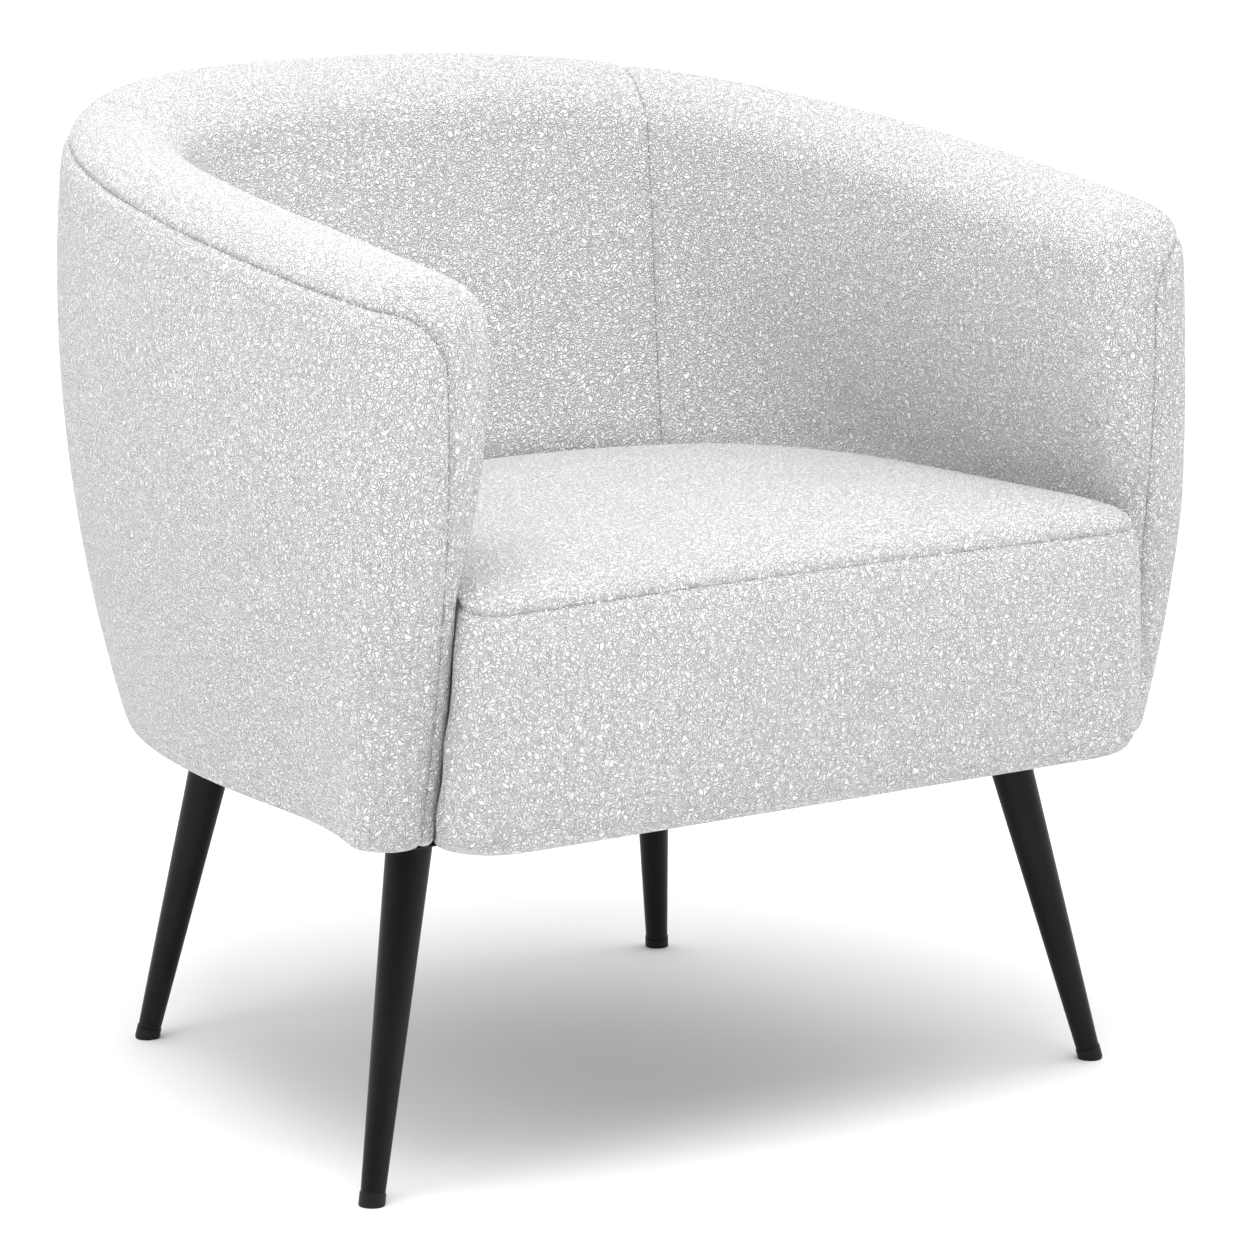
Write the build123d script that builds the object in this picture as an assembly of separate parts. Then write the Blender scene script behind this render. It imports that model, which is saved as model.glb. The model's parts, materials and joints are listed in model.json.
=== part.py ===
from build123d import *
import math
import os

# A barrel armchair with a fixed upholstered seat on four splayed metal legs, millimetres.
# X is across the chair, the chair faces -Y, Z is up and the floor is Z = 0.

# Heights of the body
BODY_BOTTOM = 260.0
ARM_TOP = 654.0
BACK_TOP = 736.0
ARM_FRONT_Y = -350.0
BACK_REAR_Y = 361.0
TOP_SLOPE = (BACK_TOP - ARM_TOP) / (BACK_REAR_Y - ARM_FRONT_Y)
TOP_AT_MIDDLE = ARM_TOP - TOP_SLOPE * ARM_FRONT_Y

# Outside outline in plan, at three heights
PLAN_HEIGHTS = (260.0, 480.0, 700.0)
HALF_WIDTH = (327.0, 365.0, 357.0)
FRONT_HALF_WIDTH = (346.0, 357.5, 352.0)
FRONT_Y = (-305.0, -342.0, -336.0)
REAR_Y = (308.0, 350.0, 361.0)
WIDEST_Y = -163.0
OUTER_ROUNDNESS = 2.6
OUTER_CORNER = 0.50

# Inside outline of the tub in plan, at three heights; below the lowest it runs straight down
INNER_HEIGHTS = (440.0, 560.0, 700.0)
INNER_HALF_WIDTH = (289.0, 265.0, 268.0)
INNER_REAR_Y = (150.0, 208.0, 252.0)
INNER_WIDEST_Y = -200.0
INNER_ROUNDNESS = 3.2
INNER_CORNER = 0.30

# Rounded top edge of the arms and back
TOP_ROUND_HEIGHT = 34.0
TOP_ROUND_OUTSIDE = 30.0
TOP_ROUND_INSIDE = 44.0

# Layers of the wall, measured inward from the outside
COVER = 4.0
PADDING = 5.0
BOARD = 3.0
TIMBER = 22.0
FRAME_OUTSIDE = COVER + PADDING + BOARD
FRAME_INSIDE = FRAME_OUTSIDE + TIMBER
LINER = 3.5
FOAM_START = FRAME_INSIDE + LINER + 0.2
TOP_FOAM = 36.0
FOAM_BOTTOM = 374.0
CLEARANCE = 0.2
EDGE_SEAM_DROP = 26.0
OUTSIDE_SEAM_X = 215.0
BACK_SEAM_INSIDE = (193.0, 126.0)
BACK_SEAM_OUTSIDE = (240.0, 250.0)

# Seat
SEAT_SEAM_Z = 432.0
SEAT_CROWN_Z = 452.0
SEAT_CROWN_RUN = 90.0
SEAT_FALL = 14.0
SEAT_FRONT_Y = -360.0
SEAT_HALF_WIDTH = 303.0
SEAT_REAR_Y = 148.0
SEAT_CORNER = 38.0
SEAT_PROFILE = (
    (261.0, 20.0), (266.0, 11.0), (276.0, 5.0), (300.0, 1.0),
    (340.0, 0.0), (400.0, 1.0), (432.0, 4.0),
)
SEAT_FOAM_BOTTOM = 358.4
FELT_TOP = 358.2
BORDER_END_Y = -294.0

# Timber frame
BASE_BOTTOM = 263.0
BASE_TOP = BASE_BOTTOM + TIMBER
RAIL_TOP = 346.0
OPENING_X = 150.0
OPENING_Y = (-225.0, 108.0)
SIDE_RAIL_FRONT = (259.0, -322.0)
SIDE_RAIL_REAR = (206.0, 172.0)
FRONT_RAIL_Y = -334.0
FRONT_RAIL_HALF = 246.0
REAR_RAIL_Y = 170.0
REAR_RAIL_HALF = 190.0
CORNER_BLOCK_HEIGHT = 50.0
FRONT_BLOCK = ((246.0, -322.8), (190.0, -322.8), (240.0, -262.0))
REAR_BLOCK = ((195.0, 158.6), (145.0, 158.6), (201.0, 98.0))
ARM_POST_REAR = -265.0
SIDE_POST_Y = (-60.0, -5.0)
CORNER_POST_X = (205.0, 262.0)
WEBBING_WIDTH = 45.0
WEBBING_BOTTOMS = (400.0, 480.0, 560.0)

# Seat springs
SPRING_WIRE = 3.6
SPRING_Z = 350.0
SPRING_HALF_WIDTH = 22.0
SPRING_PITCH = 21.0
SPRING_RUNS = 25
SPRING_SPACING = 88.0

# Legs: where each axis meets the floor and the underside of its plate
PLATE_BOTTOM = 260.5
FRONT_FOOT = (323.0, -262.0)
FRONT_LEG_TOP = (262.0, -222.0)
REAR_FOOT = (240.5, 197.0)
REAR_LEG_TOP = (197.5, 148.0)
LEG_TOP_RADIUS = 17.0
LEG_FOOT_RADIUS = 8.8
GLIDE_RADIUS = 9.4
GLIDE_HEIGHT = 9.0
STUD_RADIUS = 4.0
PLATE_SIZE = 58.0
SCREW_SPREAD = 20.0
DUST_THICKNESS = 0.9

BIG = 2000.0
SIDES = (("left", -1), ("right", 1))


def by_height(z, heights, values):
    """Value at height z of the quadratic curve through three values at three heights."""
    total = 0.0
    for i in range(3):
        weight = 1.0
        for j in range(3):
            if j != i:
                weight *= (z - heights[j]) / (heights[i] - heights[j])
        total += weight * values[i]
    return total


def on_level(level, plan_point):
    """The point of a plan curve that lies on a sloping level (height at Y = 0, slope)."""
    x, y = plan_point(level[0])
    for _ in range(6):
        x, y = plan_point(level[0] + level[1] * y)
    return Vector(x, y, level[0] + level[1] * y)


def mirrored(half):
    """The whole outline: the right half and its mirror image, from front right to front left."""
    left = [Vector(-p.X, p.Y, p.Z) for p in reversed(half) if p.X > 1e-6]
    return half + left


def inner_width(z):
    """Half of the clear width inside the tub."""
    return by_height(max(z, INNER_HEIGHTS[0]), INNER_HEIGHTS, INNER_HALF_WIDTH)


def arm_thickness(z):
    """Thickness of the arm at its front."""
    return by_height(z, PLAN_HEIGHTS, FRONT_HALF_WIDTH) - inner_width(z)


def outer_outline(level, inset, corner_at):
    """Outline of the body pulled in by inset, with front corners of the given radius."""
    power = 2 / OUTER_ROUNDNESS

    def sizes(z):
        return (
            by_height(z, PLAN_HEIGHTS, HALF_WIDTH) - inset,
            by_height(z, PLAN_HEIGHTS, FRONT_HALF_WIDTH) - inset,
            by_height(z, PLAN_HEIGHTS, FRONT_Y) + inset,
            by_height(z, PLAN_HEIGHTS, REAR_Y) - inset,
        )

    def corner_point(z, turn):
        _, front_width, front, _ = sizes(z)
        corner = corner_at(z)
        return front_width - corner * (1 - math.sin(turn)), front + corner * (1 - math.cos(turn))

    def side_point(z, share):
        width, front_width, front, _ = sizes(z)
        return (
            width - (width - front_width) * share**2,
            WIDEST_Y + (front + corner_at(z) - WIDEST_Y) * share,
        )

    def rear_point(z, turn):
        width, _, _, rear = sizes(z)
        across = width * max(math.cos(turn), 0.0) ** power
        return across, WIDEST_Y + (rear - WIDEST_Y) * math.sin(turn) ** power

    half = []
    for step in range(5):
        turn = math.radians(22.5 * step)
        half.append(on_level(level, lambda z: corner_point(z, turn)))
    for share in (0.94, 0.82, 0.6, 0.3):
        half.append(on_level(level, lambda z: side_point(z, share)))
    for step in range(13):
        turn = math.radians(7.5 * step)
        half.append(on_level(level, lambda z: rear_point(z, turn)))
    return mirrored(half)


def inner_outline(level, offset, front_inset, corner_at):
    """Outline of the inside of the tub, moved into the wall by offset."""
    power = 2 / INNER_ROUNDNESS

    def front(z):
        return by_height(z, PLAN_HEIGHTS, FRONT_Y) + front_inset

    def corner_point(z, turn):
        radius = corner_at(z)
        across = inner_width(z) + offset + radius * (1 - math.sin(turn))
        return across, front(z) + radius * (1 - math.cos(turn))

    def side_point(z, share):
        return inner_width(z) + offset, INNER_WIDEST_Y + (front(z) + corner_at(z) - INNER_WIDEST_Y) * share

    def rear_point(z, turn):
        rear = by_height(max(z, INNER_HEIGHTS[0]), INNER_HEIGHTS, INNER_REAR_Y) + offset
        across = (inner_width(z) + offset) * max(math.cos(turn), 0.0) ** power
        return across, INNER_WIDEST_Y + (rear - INNER_WIDEST_Y) * math.sin(turn) ** power

    half = []
    for step in range(5):
        turn = math.radians(22.5 * step)
        half.append(on_level(level, lambda z: corner_point(z, turn)))
    for share in (0.9, 0.7, 0.35):
        half.append(on_level(level, lambda z: side_point(z, share)))
    for step in range(13):
        turn = math.radians(7.5 * step)
        half.append(on_level(level, lambda z: rear_point(z, turn)))
    return mirrored(half)


def ring_wire(outside, inside):
    """Closed U-shaped wire from an outside and an inside outline."""
    back = list(reversed(inside))
    return Wire(
        [
            Edge.make_spline(outside),
            Edge.make_line(outside[-1], back[0]),
            Edge.make_spline(back),
            Edge.make_line(back[-1], outside[0]),
        ]
    )


def flat(z):
    """A horizontal level."""
    return (z, 0.0)


def under_top(drop):
    """The sloping level that lies a given drop below the top of the arms and back."""
    return (TOP_AT_MIDDLE - drop, TOP_SLOPE)


def between(low, high, share):
    """The level a given share of the way from one level to another."""
    return tuple(a + (b - a) * share for a, b in zip(low, high))


def inset_outline(level, inset):
    """Outline of the body pulled in by inset, its front corners round the same centres."""
    return outer_outline(level, inset, lambda z: max(OUTER_CORNER * arm_thickness(z) - inset, 2))


def layer(low, high, start, end):
    """A U-shaped layer of the wall between two insets from the outside."""
    wires = []
    for step in range(5):
        level = between(low, high, step / 4)
        wires.append(ring_wire(inset_outline(level, start), inset_outline(level, end)))
    return Solid.make_loft(wires)


def wall_wire(level, outer_move, inner_move):
    """Outline of the whole wall on one level, its two faces moved in by the given amounts."""

    def thickness(z):
        return arm_thickness(z) - outer_move - inner_move

    outside = outer_outline(level, outer_move, lambda z: OUTER_CORNER * thickness(z))
    inside = inner_outline(level, inner_move, outer_move, lambda z: INNER_CORNER * thickness(z))
    return ring_wire(outside, inside)


def wall(bottom, inset):
    """The whole U-shaped wall with its rounded top, all its faces moved in by inset."""
    rise = TOP_ROUND_HEIGHT - inset
    shoulder = under_top(TOP_ROUND_HEIGHT)
    upright = [wall_wire(between(flat(bottom), shoulder, k / 6), inset, inset) for k in range(7)]
    rounded = [upright[-1]]
    for turn in (30, 60, 90):
        angle = math.radians(turn)
        pull = 1 - math.cos(angle)
        outer_move = inset + (TOP_ROUND_OUTSIDE - inset) * pull
        inner_move = inset + (TOP_ROUND_INSIDE - inset) * pull
        level = under_top(TOP_ROUND_HEIGHT - rise * math.sin(angle))
        rounded.append(wall_wire(level, outer_move, inner_move))
    return Solid.make_loft(upright) + Solid.make_loft(rounded, ruled=True)


def box(x_range, y_range, z_range):
    """A box from its lowest and highest coordinates."""
    size = [r[1] - r[0] for r in (x_range, y_range, z_range)]
    centre = [(r[1] + r[0]) / 2 for r in (x_range, y_range, z_range)]
    return Pos(*centre) * Box(*size)


def both_sides(name, right):
    """A right-hand piece and its mirror image, by node name."""
    return {f"{name}_right": right, f"{name}_left": mirror(right, Plane.YZ)}


def arm_side():
    """The region on the right arm's side of the inside-back seam."""
    run_x = BACK_SEAM_OUTSIDE[0] - BACK_SEAM_INSIDE[0]
    run_y = BACK_SEAM_OUTSIDE[1] - BACK_SEAM_INSIDE[1]
    length = math.hypot(run_x, run_y)
    centre_x = BACK_SEAM_INSIDE[0] + run_y / length * BIG / 2
    centre_y = BACK_SEAM_INSIDE[1] - run_x / length * BIG / 2
    angle = -math.degrees(math.atan2(run_x, run_y))
    return Pos(centre_x, centre_y, 0) * Rot(0, 0, angle) * Box(BIG, BIG, BIG)


def three_way(name, whole_piece):
    """Cut a U-shaped layer at the inside-back seams into a right arm, back and left arm piece."""
    region = arm_side()
    pieces = both_sides(f"{name}_arm", whole_piece & region)
    pieces[f"{name}_back"] = whole_piece - region - mirror(region, Plane.YZ)
    return pieces


def wall_foam():
    """Foam over the inside and the top of the arms and back."""
    envelope = wall(FOAM_BOTTOM, COVER + CLEARANCE)
    return envelope - layer(flat(FOAM_BOTTOM - 60), under_top(TOP_FOAM), -BOARD, FOAM_START)


def inside_cover():
    """Cover of the inside and the rolled top, down to the seam along the outer edge."""
    skin = wall(FOAM_BOTTOM, 0) - wall(FOAM_BOTTOM, COVER)
    outer_part = layer(flat(FOAM_BOTTOM - 60), under_top(EDGE_SEAM_DROP), -BOARD, COVER + CLEARANCE)
    return (skin - outer_part).solids().sort_by(SortBy.VOLUME)[-1]


def outside_cover():
    """Cover of the outside, in a back panel and two arm panels that wrap the arm fronts."""
    skin = layer(flat(BODY_BOTTOM), under_top(EDGE_SEAM_DROP), 0, COVER)
    rear = box((-OUTSIDE_SEAM_X, OUTSIDE_SEAM_X), (0, BIG), (0, BIG))
    sides = skin - rear
    right = sides & box((0, BIG), (-BIG, BIG), (0, BIG))
    pieces = both_sides("outside_cover_arm", right)
    pieces["outside_cover_back"] = skin & rear
    return pieces


def frame_posts():
    """Upright posts between the base frame and the top rail, cut from curved timber."""
    zone = layer(flat(BASE_TOP), under_top(TOP_FOAM + TIMBER + 0.2), FRAME_OUTSIDE, FRAME_INSIDE)
    tall = (0, BIG)
    pieces = both_sides("arm_post", zone & box((200, BIG), (-BIG, ARM_POST_REAR), tall))
    pieces |= both_sides("side_post", zone & box((200, BIG), SIDE_POST_Y, tall))
    pieces |= both_sides("back_corner_post", zone & box(CORNER_POST_X, (0, BIG), tall))
    half = TIMBER * 1.3
    pieces["back_middle_post"] = zone & box((-half, half), (0, BIG), tall)
    return pieces


def liners():
    """Boards and elastic webbing that carry the inside foam."""
    sheet = layer(flat(350), under_top(TOP_FOAM + TIMBER + 2), FRAME_INSIDE + 0.1, FRAME_INSIDE + LINER)
    pieces = both_sides("arm_inside_board", sheet & box((200, BIG), (-290, 20), (0, BIG)))
    for number, bottom in enumerate(WEBBING_BOTTOMS, 1):
        strap = layer(flat(bottom), flat(bottom + WEBBING_WIDTH), FRAME_INSIDE + 0.1, FRAME_INSIDE + 1.9)
        pieces[f"back_webbing_{number}"] = strap & box((-BIG, BIG), (30, BIG), (0, BIG))
    rail = layer(flat(350), flat(350 + TIMBER), FRAME_INSIDE + 0.1, FRAME_INSIDE + 18)
    pieces["back_lower_rail"] = rail & box((-BIG, BIG), (50, BIG), (0, BIG))
    return pieces


def body_plate(bottom, top, inset):
    """A flat sheet with the body's outline at its bottom, closed straight across the front."""
    outline = inset_outline(flat(bottom), inset)
    face = Face(Wire([Edge.make_spline(outline), Edge.make_line(outline[-1], outline[0])]))
    return extrude(face, top - bottom, dir=(0, 0, 1))


def base_frame():
    """Plywood base: the body's outline with a large opening, and a bar under the front rail."""
    plate = body_plate(BASE_BOTTOM, BASE_TOP, FRAME_OUTSIDE + CLEARANCE)
    bar = box((-BIG, BIG), (FRONT_RAIL_Y - TIMBER / 2, -280), (BASE_BOTTOM, BASE_TOP))
    bar &= seat_solid([(BODY_BOTTOM, 28), (BASE_TOP + 9, 28)])
    opening = box((-OPENING_X, OPENING_X), OPENING_Y, (0, BIG))
    return plate + bar - fillet(opening.edges().filter_by(Axis.Z), 40)


def dust_cover():
    """Thin black sheet under the base, with a hole round each leg."""
    low = BODY_BOTTOM - DUST_THICKNESS
    sheet = body_plate(low, BODY_BOTTOM - 0.1, 7)
    tongue = seat_solid([(low, 30), (BODY_BOTTOM - 0.1, 30)])
    sheet += tongue & box((-BIG, BIG), (-BIG, -280), (0, BIG))
    for _, top in leg_ends().values():
        sheet -= Pos(top[0], top[1], BODY_BOTTOM) * Cylinder(LEG_TOP_RADIUS + 5, 20)
    return sheet


def seat_outline(z, inset, fall=0.0):
    """Outline of the seat, from front right round the rear to front left, falling to the rear."""
    width = SEAT_HALF_WIDTH - inset
    front = SEAT_FRONT_Y + inset
    rear = SEAT_REAR_Y - inset
    power = 2 / INNER_ROUNDNESS
    half = []
    for step in range(7):
        turn = math.radians(15 * step)
        x = width - SEAT_CORNER * (1 - math.sin(turn))
        half.append(Vector(x, front + SEAT_CORNER * (1 - math.cos(turn)), z))
    half.append(Vector(width, (front + SEAT_CORNER + INNER_WIDEST_Y) / 2, z))
    for step in range(13):
        turn = math.radians(7.5 * step)
        x = width * max(math.cos(turn), 0.0) ** power
        half.append(Vector(x, INNER_WIDEST_Y + (rear - INNER_WIDEST_Y) * math.sin(turn) ** power, z))
    slope = fall / (SEAT_REAR_Y - SEAT_FRONT_Y)
    half = [Vector(p.X, p.Y, p.Z - slope * (p.Y - SEAT_FRONT_Y)) for p in half]
    return mirrored(half)


def seat_solid(levels):
    """A solid through seat outlines, each given as a height, an inset and sometimes a fall."""
    wires = []
    for level in levels:
        outline = seat_outline(*level)
        wires.append(Wire([Edge.make_spline(outline), Edge.make_line(outline[-1], outline[0])]))
    return Solid.make_loft(wires, ruled=True)


def seat_pull(z):
    """How far the seat's bulging side is pulled in at a height."""
    for (low, start), (high, end) in zip(SEAT_PROFILE, SEAT_PROFILE[1:]):
        if z <= high:
            return start + (end - start) * (z - low) / (high - low)
    return SEAT_PROFILE[-1][1]


def seat_levels(low, high, inset):
    """Heights and insets up the seat's side, between two heights."""
    heights = [low] + [z for z, _ in SEAT_PROFILE if low < z < high] + [high]
    return [(z, inset + seat_pull(z)) for z in heights]


def seat_dome(bottom, inset):
    """The seat's crowned block from a given bottom, its faces moved in by inset."""
    rise = SEAT_CROWN_Z - SEAT_SEAM_Z - inset
    edge = inset + SEAT_PROFILE[-1][1]
    levels = seat_levels(bottom, SEAT_SEAM_Z, inset)[:-1] if bottom < SEAT_SEAM_Z else []
    for turn in (0, 15, 30, 50, 70, 90):
        share = math.sin(math.radians(turn))
        pull = edge + SEAT_CROWN_RUN * (1 - math.cos(math.radians(turn)))
        levels.append((SEAT_SEAM_Z + rise * share, pull, SEAT_FALL * share))
    return seat_solid(levels)


def arm_space(gap):
    """The space of the arms and back beside the seat, with a gap round it."""
    return Solid.make_loft([wall_wire(flat(z), -gap, -gap) for z in (230, 280, 330, 380, 430, 480)])


def seat_pieces():
    """Seat foam, felt pad, covers and the padding on the front rail."""
    front = box((-BIG, BIG), (-BIG, BORDER_END_Y), (0, BIG))
    arms = arm_space(0.3)
    top_skin = seat_dome(SEAT_SEAM_Z, 0) - seat_dome(SEAT_SEAM_Z, COVER)
    border = seat_solid(seat_levels(BODY_BOTTOM + 1, SEAT_SEAM_Z, 0)[:-1] + [(SEAT_SEAM_Z - 0.1, 4)])
    hollow = [(BODY_BOTTOM - 9, 20 + COVER)] + seat_levels(BODY_BOTTOM + 1, SEAT_SEAM_Z + 9, COVER)
    border -= seat_solid(hollow)
    padding = seat_solid(seat_levels(BASE_BOTTOM, FELT_TOP, COVER + 0.1))
    padding -= seat_solid([(BODY_BOTTOM, 28), (280, 15), (FELT_TOP + 9, 15)])
    felt = seat_solid([(FELT_TOP - 4, 20), (FELT_TOP, 20)])
    wide = arm_space(COVER)
    return {
        "seat_foam": seat_dome(SEAT_FOAM_BOTTOM, COVER + CLEARANCE) - wide,
        "seat_cover_top": top_skin - arms,
        "seat_cover_border": (border & front) - arms,
        "seat_front_padding": (padding & front) - wide - side_rail() - mirror(side_rail(), Plane.YZ),
        "seat_felt_pad": felt - wide,
    }


def side_rail():
    """Right side rail of the seat frame, toed in towards the rear."""
    run_x = SIDE_RAIL_REAR[0] - SIDE_RAIL_FRONT[0]
    run_y = SIDE_RAIL_REAR[1] - SIDE_RAIL_FRONT[1]
    angle = -math.degrees(math.atan2(run_x, run_y))
    centre_x = (SIDE_RAIL_FRONT[0] + SIDE_RAIL_REAR[0]) / 2
    centre_y = (SIDE_RAIL_FRONT[1] + SIDE_RAIL_REAR[1]) / 2
    block = Box(TIMBER, math.hypot(run_x, run_y), RAIL_TOP - BASE_TOP)
    return Pos(centre_x, centre_y, (RAIL_TOP + BASE_TOP) / 2) * Rot(0, 0, angle) * block


def corner_block(points):
    """Triangular glue block between two seat rails."""
    face = make_face(Polyline(*[(x, y, BASE_TOP) for x, y in points], close=True))
    return extrude(face, CORNER_BLOCK_HEIGHT, dir=(0, 0, 1))


def seat_frame():
    """Rails and corner blocks that stand on the base frame."""
    height = (BASE_TOP, RAIL_TOP)
    half = TIMBER / 2
    front = box((-FRONT_RAIL_HALF, FRONT_RAIL_HALF), (FRONT_RAIL_Y - half, FRONT_RAIL_Y + half), height)
    rear = box((-REAR_RAIL_HALF, REAR_RAIL_HALF), (REAR_RAIL_Y - half, REAR_RAIL_Y + half), height)
    pieces = both_sides("seat_side_rail", side_rail())
    pieces["seat_front_rail"] = front & seat_solid([(BODY_BOTTOM, 15.1), (RAIL_TOP + 9, 15.1)])
    pieces["seat_rear_rail"] = rear
    pieces |= both_sides("corner_block_front", corner_block(FRONT_BLOCK))
    pieces |= both_sides("corner_block_rear", corner_block(REAR_BLOCK))
    return pieces


def spring_path():
    """Zigzag of one seat spring: straight cross runs joined by half-circle bends."""
    bend = SPRING_PITCH / 2
    reach = SPRING_HALF_WIDTH - bend
    edges = []
    y = FRONT_RAIL_Y + 2
    side = 1
    for run in range(SPRING_RUNS):
        edges.append(Edge.make_line((-side * reach, y, SPRING_Z), (side * reach, y, SPRING_Z)))
        if run < SPRING_RUNS - 1:
            tip = (side * SPRING_HALF_WIDTH, y + bend, SPRING_Z)
            start = (side * reach, y, SPRING_Z)
            edges.append(Edge.make_three_point_arc(start, tip, (side * reach, y + SPRING_PITCH, SPRING_Z)))
        y += SPRING_PITCH
        side = -side
    return Wire(edges)


def seat_springs():
    """Sinuous springs across the seat frame and the clips that hold their ends."""
    path = spring_path()
    spring = sweep(Plane(path @ 0, z_dir=path % 0) * Circle(SPRING_WIRE / 2), path=path)
    last_y = FRONT_RAIL_Y + 2 + SPRING_PITCH * (SPRING_RUNS - 1)
    springs = []
    clips = []
    for place in range(-2, 3):
        x = place * SPRING_SPACING
        springs.append(Pos(x, 0, 0) * spring)
        for y in (FRONT_RAIL_Y + 2, last_y):
            clip = Pos(x, y, RAIL_TOP + 3.2) * Box(13, 9, 6.4)
            clips.append(clip - springs[-1])
    return {"seat_springs": Compound(children=springs), "spring_clips": Compound(children=clips)}


def leg_ends():
    """Foot and top of each leg's axis in plan, by corner."""
    ends = {}
    for side, sign in SIDES:
        for corner, foot, top in (("front", FRONT_FOOT, FRONT_LEG_TOP), ("rear", REAR_FOOT, REAR_LEG_TOP)):
            ends[f"{corner}_{side}"] = ((sign * foot[0], foot[1]), (sign * top[0], top[1]))
    return ends


def leg_plane(foot, top, start):
    """Plane square to a leg's axis, a given distance up from the floor."""
    axis = Vector(top[0] - foot[0], top[1] - foot[1], PLATE_BOTTOM).normalized()
    return Plane(origin=Vector(foot[0], foot[1], 0) + axis * start, z_dir=axis)


def leg(foot, top):
    """Tapered round leg, cut level under its plate, with a socket for the stud."""
    length = math.hypot(top[0] - foot[0], top[1] - foot[1], PLATE_BOTTOM)
    spare = 20.0
    taper = (LEG_TOP_RADIUS - LEG_FOOT_RADIUS) / (length - GLIDE_HEIGHT)
    end_radius = LEG_TOP_RADIUS + taper * spare
    base = leg_plane(foot, top, GLIDE_HEIGHT)
    cone = Solid.make_cone(LEG_FOOT_RADIUS, end_radius, length + spare - GLIDE_HEIGHT, base)
    return cone & box((-BIG, BIG), (-BIG, BIG), (0, PLATE_BOTTOM))


def glide(foot, top):
    """Domed plastic glide on the leg's end, with a small flat on the floor."""
    sunk = 3.0
    body = Solid.make_cylinder(GLIDE_RADIUS, GLIDE_HEIGHT + sunk, leg_plane(foot, top, -sunk))
    lowest = body.edges().filter_by(GeomType.CIRCLE).sort_by(Axis.Z)[0]
    return fillet(lowest, 3.4) & box((-BIG, BIG), (-BIG, BIG), (0, BIG))


def stud(top):
    """Threaded stud that joins a leg to its plate and the base frame."""
    return Pos(top[0], top[1], 259) * Cylinder(STUD_RADIUS, 48)


def plate_screws(top):
    """Four countersunk screws of one leg plate."""
    screws = []
    for dx in (-SCREW_SPREAD, SCREW_SPREAD):
        for dy in (-SCREW_SPREAD, SCREW_SPREAD):
            head = Pos(top[0] + dx, top[1] + dy, PLATE_BOTTOM + 0.8) * Cylinder(4, 1.2)
            shank = Pos(top[0] + dx, top[1] + dy, PLATE_BOTTOM + 10) * Cylinder(1.9, 19)
            screws.append(head + shank)
    return screws


def leg_sets():
    """Legs, glides, plates, studs and screws, and the base frame drilled for them."""
    pieces = {}
    screws = []
    base = base_frame()
    for corner, (foot, top) in leg_ends().items():
        pin = stud(top)
        plate = box(
            (top[0] - PLATE_SIZE / 2, top[0] + PLATE_SIZE / 2),
            (top[1] - PLATE_SIZE / 2, top[1] + PLATE_SIZE / 2),
            (PLATE_BOTTOM, BASE_BOTTOM),
        )
        plate = fillet(plate.edges().filter_by(Axis.Z), 6)
        fixings = plate_screws(top)
        for cutter in fixings + [pin]:
            plate -= cutter
            base -= cutter
        pieces[f"leg_{corner}"] = leg(foot, top) - pin
        pieces[f"glide_{corner}"] = glide(foot, top)
        pieces[f"leg_plate_{corner}"] = plate
        pieces[f"leg_stud_{corner}"] = pin
        screws += fixings
    pieces["leg_plate_screws"] = Compound(children=screws)
    pieces["base_frame"] = base
    return pieces


def chair():
    """Every piece of the armchair by node name."""
    pieces = leg_sets()
    pieces |= seat_frame()
    pieces |= seat_springs()
    pieces |= seat_pieces()
    pieces |= frame_posts()
    pieces |= liners()
    board_top = under_top(TOP_FOAM + 0.2)
    pieces["top_rail"] = layer(under_top(TOP_FOAM + TIMBER), board_top, FRAME_OUTSIDE, FRAME_INSIDE)
    pieces["outside_board"] = layer(flat(BASE_BOTTOM), board_top, COVER + PADDING, FRAME_OUTSIDE)
    pieces["outside_padding"] = layer(flat(BASE_BOTTOM), board_top, COVER + 0.1, COVER + PADDING)
    pieces |= three_way("foam", wall_foam())
    for side, _ in SIDES:
        pieces[f"foam_arm_{side}"] -= pieces[f"arm_post_{side}"]
    pieces |= three_way("inside_cover", inside_cover())
    pieces |= outside_cover()
    pieces["dust_cover"] = dust_cover()
    return pieces


os.makedirs("parts", exist_ok=True)
for node, piece in chair().items():
    export_step(piece, f"parts/{node}.step")
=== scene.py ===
import json
import math

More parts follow.
